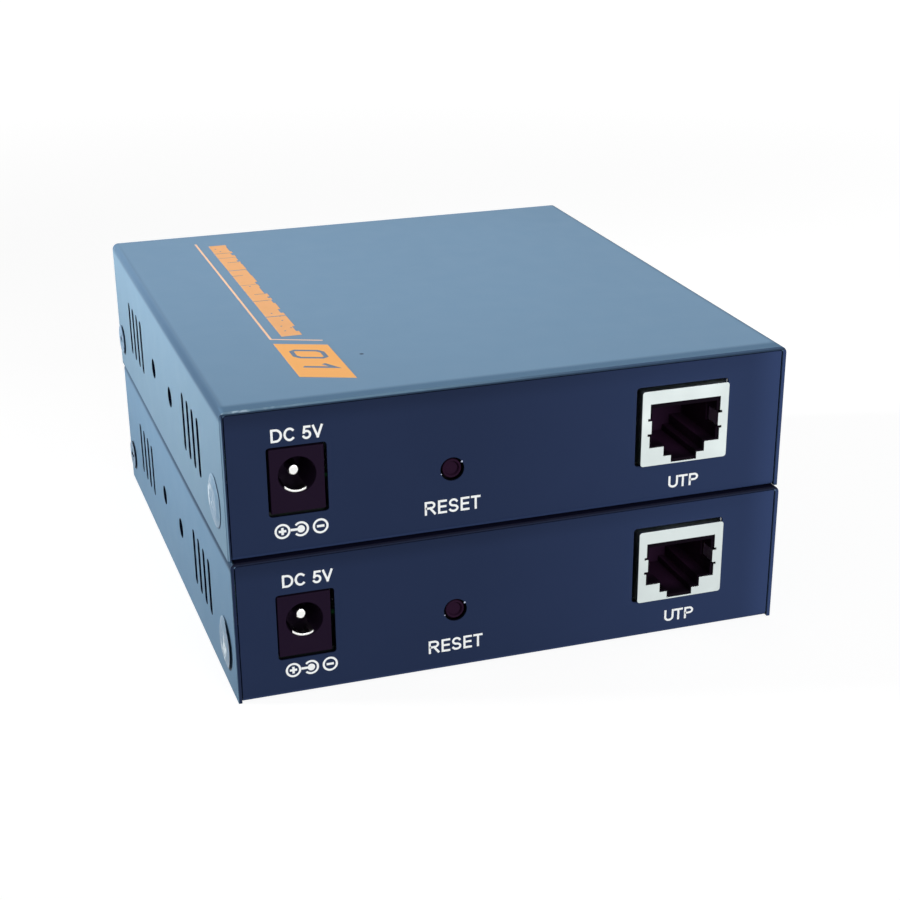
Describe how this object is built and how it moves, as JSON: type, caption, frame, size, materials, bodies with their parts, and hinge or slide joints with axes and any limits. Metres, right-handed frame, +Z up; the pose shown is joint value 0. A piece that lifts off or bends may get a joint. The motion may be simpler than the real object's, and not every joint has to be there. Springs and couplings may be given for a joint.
{
  "type": "kvm extender",
  "caption": "Stacked pair of flat sheet steel extender units for video, keyboard and mouse, each with a shielded network socket, a round power socket, a reset button and vented side walls.",
  "frame": {"origin": "on the table under the lower unit, midway between the centres of the two stacked units", "axes": "+X to the right as seen from the front, +Y from the front panels to the rear panels, +Z up"},
  "size_m": [0.0991, 0.1085, 0.051],
  "materials": {
    "cover_paint": "satin powder coat",
    "tray_paint": "satin powder coat",
    "screw_steel": "zinc plated",
    "seal_film": "silvery film",
    "board_laminate": "solder mask",
    "tinned_steel": "bright tin",
    "black_plastic": "moulded",
    "dark_plastic": "moulded",
    "gold_plate": "gold flash",
    "nickel_plate": "bright nickel",
    "chip_resin": "moulded resin",
    "sink_aluminium": "extruded",
    "can_aluminium": "drawn can",
    "ferrite": "matte",
    "light_resin": "clear tinted"
  },
  "bodies": {
    "receiver": {"receiver_cover": "cover_paint", "receiver_base_tray": "tray_paint", "receiver_cover_screws": "screw_steel", "receiver_screw_seal": "seal_film", "receiver_circuit_board": "board_laminate", "receiver_board_standoffs": "screw_steel", "receiver_board_screws": "screw_steel", "receiver_network_jack_shield": "tinned_steel", "receiver_network_jack_insert": "black_plastic", "receiver_network_jack_contacts": "gold_plate", "receiver_power_jack_body": "dark_plastic", "receiver_power_jack_pin": "nickel_plate", "receiver_power_jack_spring": "nickel_plate", "receiver_reset_switch_body": "black_plastic", "receiver_main_chip": "chip_resin", "receiver_heat_sink": "sink_aluminium", "receiver_network_transformer": "chip_resin", "receiver_filter_capacitors": "can_aluminium", "receiver_power_inductors": "ferrite", "receiver_crystals": "nickel_plate", "receiver_support_chips": "chip_resin", "receiver_status_lights": "light_resin", "receiver_light_holders": "black_plastic", "receiver_video_socket_shells": "tinned_steel", "receiver_video_socket_inserts": "black_plastic", "receiver_video_socket_contacts": "gold_plate", "receiver_data_socket_shells": "tinned_steel", "receiver_data_socket_inserts": "black_plastic", "receiver_data_socket_contacts": "gold_plate"},
    "transmitter": {"transmitter_cover": "cover_paint", "transmitter_base_tray": "tray_paint", "transmitter_cover_screws": "screw_steel", "transmitter_screw_seal": "seal_film", "transmitter_circuit_board": "board_laminate", "transmitter_board_standoffs": "screw_steel", "transmitter_board_screws": "screw_steel", "transmitter_network_jack_shield": "tinned_steel", "transmitter_network_jack_insert": "black_plastic", "transmitter_network_jack_contacts": "gold_plate", "transmitter_power_jack_body": "dark_plastic", "transmitter_power_jack_pin": "nickel_plate", "transmitter_power_jack_spring": "nickel_plate", "transmitter_reset_switch_body": "black_plastic", "transmitter_main_chip": "chip_resin", "transmitter_heat_sink": "sink_aluminium", "transmitter_network_transformer": "chip_resin", "transmitter_filter_capacitors": "can_aluminium", "transmitter_power_inductors": "ferrite", "transmitter_crystals": "nickel_plate", "transmitter_support_chips": "chip_resin", "transmitter_status_lights": "light_resin", "transmitter_light_holders": "black_plastic", "transmitter_video_socket_shells": "tinned_steel", "transmitter_video_socket_inserts": "black_plastic", "transmitter_video_socket_contacts": "gold_plate", "transmitter_data_socket_shells": "tinned_steel", "transmitter_data_socket_inserts": "black_plastic", "transmitter_data_socket_contacts": "gold_plate"},
    "receiver_button": {"receiver_reset_button": "dark_plastic"},
    "transmitter_button": {"transmitter_reset_button": "dark_plastic"}
  },
  "joints": [
    {"name": "transmitter_lift", "type": "slide", "parent": "receiver", "child": "transmitter", "axis": [0, 0, 1], "range_m": [0, 0.06]},
    {"name": "receiver_reset_press", "type": "slide", "parent": "receiver", "child": "receiver_button", "axis": [0, 1, 0], "range_m": [0, 0.00025], "stiffness_N_per_m": 1000, "springref_m": -0.0005},
    {"name": "transmitter_reset_press", "type": "slide", "parent": "transmitter", "child": "transmitter_button", "axis": [0, 1, 0], "range_m": [0, 0.00025], "stiffness_N_per_m": 1000, "springref_m": -0.0005}
  ]
}
